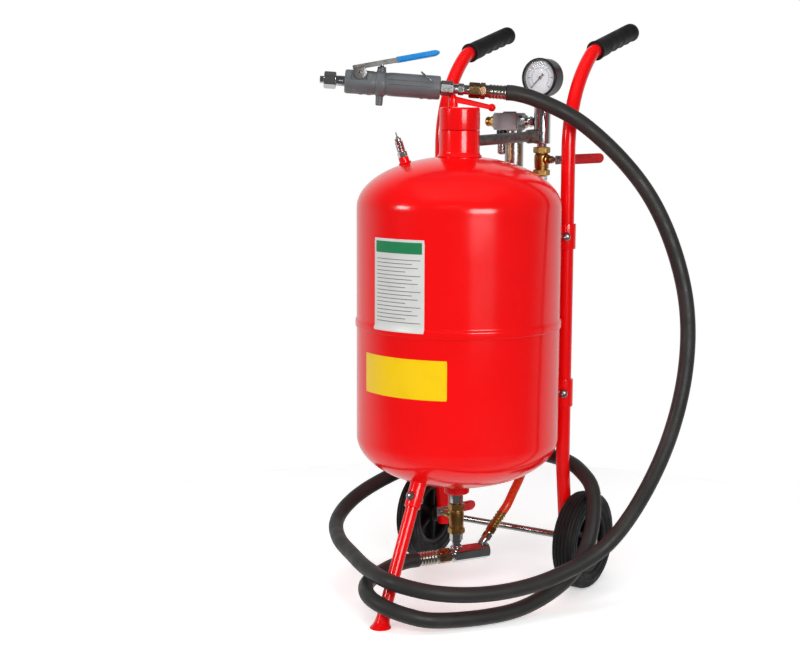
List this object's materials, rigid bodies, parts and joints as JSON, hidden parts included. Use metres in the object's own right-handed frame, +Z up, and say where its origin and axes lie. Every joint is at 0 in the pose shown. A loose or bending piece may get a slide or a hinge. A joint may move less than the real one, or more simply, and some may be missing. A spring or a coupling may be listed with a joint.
{
  "type": "portable pressure blast tank",
  "caption": "Upright pressure tank with domed ends on a two-wheel trolley with a front prop, filler cap, valves, gauge, blast hose and hand gun.",
  "frame": {"origin": "centre of the base on the floor, measured without the hoses", "axes": "+Z up, +Y from the front leg towards the wheels and handles, +X along the axle to the right"},
  "size_m": [0.622, 0.6614, 1.0311],
  "materials": {
    "red_paint": "gloss powder coat",
    "red_sleeve": "dipped vinyl",
    "grip_rubber": "satin moulded vinyl",
    "tyre_rubber": "matt",
    "hub_plastic": "moulded",
    "zinc_steel": "bright zinc plate",
    "chrome_steel": "bright nickel plate",
    "valve_brass": "machined",
    "passivated_steel": "yellow passivated zinc",
    "galvanised_pipe": "dull galvanised",
    "filter_metal": "die cast, satin",
    "gauge_black": "enamel",
    "gauge_dial": "printed",
    "gauge_glass": "clear",
    "gun_alloy": "cast alloy, satin grey",
    "lever_blue": "dipped vinyl on a zinc lever",
    "blast_hose_rubber": "satin extruded",
    "air_hose_orange": "polyurethane",
    "seal_rubber": "matt"
  },
  "bodies": {
    "tank_and_trolley": {"tank_lower_shell": "red_paint", "tank_upper_shell": "red_paint", "outlet_pad": "red_paint", "filler_neck": "red_paint", "relief_stub": "red_paint", "handle_tube_left": "red_paint", "handle_tube_right": "red_paint", "bracket_lower_left": "red_paint", "bracket_lower_right": "red_paint", "bracket_upper_left": "red_paint", "bracket_upper_right": "red_paint", "leg_socket": "red_paint", "leg": "red_paint", "grip_left": "grip_rubber", "grip_right": "grip_rubber", "axle": "zinc_steel", "leg_bolt": "zinc_steel", "gun_adapter": "zinc_steel", "trigger_pin": "zinc_steel", "relief_body": "chrome_steel", "outlet_nipple": "chrome_steel", "lower_nipple": "chrome_steel", "mixing_block": "chrome_steel", "air_nipple": "chrome_steel", "inlet_barb": "chrome_steel", "manifold_post": "chrome_steel", "gun_nozzle": "chrome_steel", "outlet_valve_body": "valve_brass", "inlet_valve_body": "valve_brass", "air_barb": "valve_brass", "inlet_coupler": "valve_brass", "hose_nut_upper": "valve_brass", "hose_nut_lower": "passivated_steel", "hose_ferrule_lower": "passivated_steel", "hose_ferrule_upper": "passivated_steel", "manifold_pipe": "galvanised_pipe", "filter_head": "filter_metal", "filter_bowl": "filter_metal", "gauge_case": "gauge_black", "gauge_dial": "gauge_dial", "gauge_glass": "gauge_glass", "gun_body": "gun_alloy", "blast_hose": "blast_hose_rubber", "air_hose": "air_hose_orange", "lid_gasket": "seal_rubber"},
    "wheel_left": {"tyre_left": "tyre_rubber", "wheel_hub_left": "hub_plastic"},
    "wheel_right": {"tyre_right": "tyre_rubber", "wheel_hub_right": "hub_plastic"},
    "filler_cap": {"filler_lid": "red_paint", "lid_lever": "red_paint"},
    "relief_spindle": {"relief_stem": "zinc_steel"},
    "outlet_tap": {"outlet_valve_ball": "chrome_steel", "outlet_valve_lever": "red_sleeve"},
    "inlet_tap": {"inlet_valve_ball": "chrome_steel", "inlet_valve_lever": "red_sleeve"},
    "needle": {"gauge_needle": "gauge_black"},
    "trigger": {"gun_trigger": "lever_blue"},
    "plunger": {"trigger_plunger": "zinc_steel"},
    "latch": {"gun_latch": "zinc_steel"}
  },
  "joints": [
    {"name": "wheel_left_spin", "type": "hinge", "parent": "tank_and_trolley", "child": "wheel_left", "pos_m": [-0.16542, 0.09423, 0.0884], "axis": [1, 0, 0], "continuous": true},
    {"name": "wheel_right_spin", "type": "hinge", "parent": "tank_and_trolley", "child": "wheel_right", "pos_m": [0.17458, 0.09423, 0.0884], "axis": [1, 0, 0], "continuous": true},
    {"name": "filler_cap_turn", "type": "hinge", "parent": "tank_and_trolley", "child": "filler_cap", "pos_m": [0.00458, -0.07277, 0.835], "axis": [0, 0, 1], "range_deg": [0, 90]},
    {"name": "relief_pull", "type": "slide", "parent": "tank_and_trolley", "child": "relief_spindle", "axis": [-0.2451, -0.1672, 0.955], "range_m": [0, 0.004], "stiffness_N_per_m": 400, "springref_m": -0.002},
    {"name": "outlet_tap_turn", "type": "hinge", "parent": "tank_and_trolley", "child": "outlet_tap", "pos_m": [0.00458, -0.07277, 0.145], "axis": [-0.9925, 0.1219, 0], "range_deg": [0, 90]},
    {"name": "inlet_tap_turn", "type": "hinge", "parent": "tank_and_trolley", "child": "inlet_tap", "pos_m": [0.07458, 0.09523, 0.781], "axis": [-0.9781, 0.2079, 0], "range_deg": [0, 90]},
    {"name": "needle_sweep", "type": "hinge", "parent": "tank_and_trolley", "child": "needle", "pos_m": [0.07458, 0.08423, 0.927], "axis": [0, 1, 0], "range_deg": [0, 270]},
    {"name": "trigger_squeeze", "type": "hinge", "parent": "tank_and_trolley", "child": "trigger", "pos_m": [-0.1387, -0.17054, 0.93364], "axis": [-0.5637, 0.826, 0], "range_deg": [0, 9], "stiffness_Nm_per_rad": 2, "springref_deg": -6.88},
    {"name": "plunger_press", "type": "slide", "parent": "tank_and_trolley", "child": "plunger", "axis": [-0.0556, -0.0379, -0.9977], "range_m": [0, 0.007]},
    {"name": "latch_swing", "type": "hinge", "parent": "tank_and_trolley", "child": "latch", "pos_m": [-0.03527, -0.09996, 0.91788], "axis": [0.5637, -0.826, 0], "range_deg": [-60, 0]}
  ],
  "couplings": [
    {"joint": "plunger_press", "follows": "trigger_squeeze", "m_per_rad": 0.04}
  ]
}
